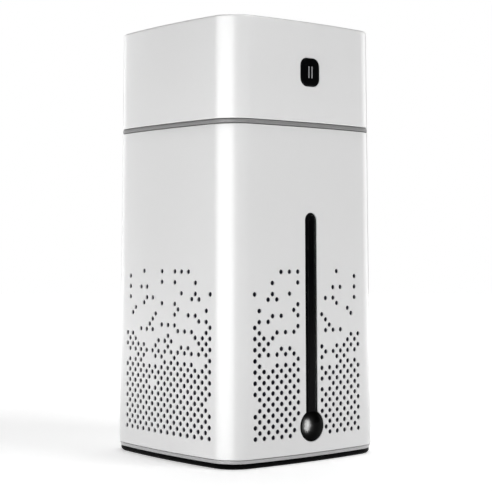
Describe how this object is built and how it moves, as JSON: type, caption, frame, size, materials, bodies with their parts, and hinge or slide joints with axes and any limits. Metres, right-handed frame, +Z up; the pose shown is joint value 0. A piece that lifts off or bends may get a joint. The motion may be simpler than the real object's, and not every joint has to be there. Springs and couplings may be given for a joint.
{
  "type": "cool mist humidifier",
  "caption": "Square tower cool mist humidifier: perforated lower housing with a water tank and level window, and a lift-off head with wick tube, push button and mist outlet.",
  "frame": {"origin": "middle of the tower's footprint, on the floor under the feet", "axes": "+Z up; -Y is the front, with the push button and the level window; +Y is the back, with the power inlet; +X is on the right seen from the front"},
  "size_m": [0.1124, 0.1143, 0.232],
  "materials": {
    "white_plastic": "satin white ABS",
    "tank_plastic": "smoked blue-grey translucent",
    "black_plastic": "satin black",
    "smoked_plastic": "glossy smoked black",
    "grey_plastic": "satin dark grey",
    "light_grey_plastic": "satin grey",
    "inner_plastic": "natural white",
    "light_guide": "diffusing",
    "silicone": "matt translucent",
    "rubber": "matt",
    "steel": "bright",
    "ceramic": "fired ceramic",
    "circuit_board": "solder mask",
    "chip": "moulded",
    "cotton": "pressed cotton",
    "red_wire": "soft insulation"
  },
  "bodies": {
    "lower_unit": {"base_screw_back_left": "steel", "base_screw_back_right": "steel", "base_screw_front_left": "steel", "base_screw_front_right": "steel", "base_skirt_ring": "light_grey_plastic", "base_tray": "black_plastic", "foot_back_left": "rubber", "foot_back_right": "rubber", "foot_front_left": "rubber", "foot_front_right": "rubber", "level_window": "smoked_plastic", "lower_housing": "white_plastic", "water_tank": "tank_plastic"},
    "head": {"atomiser_clamp": "inner_plastic", "atomiser_disc": "steel", "atomiser_lead_black": "chip", "atomiser_lead_red": "red_wire", "board_screw_back_left": "steel", "board_screw_back_right": "steel", "board_screw_front_left": "steel", "board_screw_front_right": "steel", "capacitor": "steel", "clamp_screw_back": "steel", "clamp_screw_front": "steel", "control_board": "circuit_board", "driver_chip": "chip", "head_chassis": "inner_plastic", "head_housing": "white_plastic", "head_screw_back_left": "steel", "head_screw_back_right": "steel", "head_screw_front_left": "steel", "head_screw_front_right": "steel", "inductor": "chip", "light_lens_left": "light_guide", "light_lens_right": "light_guide", "lower_washer": "silicone", "mist_nozzle": "inner_plastic", "night_light_left": "light_guide", "night_light_right": "light_guide", "piezo_ring": "ceramic", "seam_ring": "grey_plastic", "tactile_switch": "chip", "tank_gasket": "silicone", "upper_washer": "silicone", "usb_socket": "steel"},
    "button": {"power_button": "black_plastic", "button_light_guide": "light_guide"},
    "switch_plunger": {"switch_plunger": "chip"},
    "filter": {"filter_tube": "inner_plastic", "filter_tube_cap": "inner_plastic", "wick_spring": "steel"},
    "wick": {"cotton_wick": "cotton"}
  },
  "joints": [
    {"name": "head_lift", "type": "slide", "parent": "lower_unit", "child": "head", "axis": [0, 0, 1], "range_m": [0, 0.165]},
    {"name": "button_press", "type": "slide", "parent": "head", "child": "button", "axis": [0, 1, 0], "range_m": [0, 0.0008], "stiffness_N_per_m": 900, "springref_m": -0.0005},
    {"name": "switch_press", "type": "slide", "parent": "head", "child": "switch_plunger", "axis": [0, 1, 0], "range_m": [0, 0.0008]},
    {"name": "filter_twist", "type": "hinge", "parent": "head", "child": "filter", "pos_m": [0, 0, 0.1679], "axis": [0, 0, 1], "range_deg": [0, 60]},
    {"name": "wick_press", "type": "slide", "parent": "filter", "child": "wick", "axis": [0, 0, -1], "range_m": [0, 0.003], "stiffness_N_per_m": 80, "springref_m": -0.003, "deforming": ["wick_spring"]}
  ],
  "couplings": [
    {"joint": "switch_press", "follows": "button_press", "ratio": 1}
  ]
}
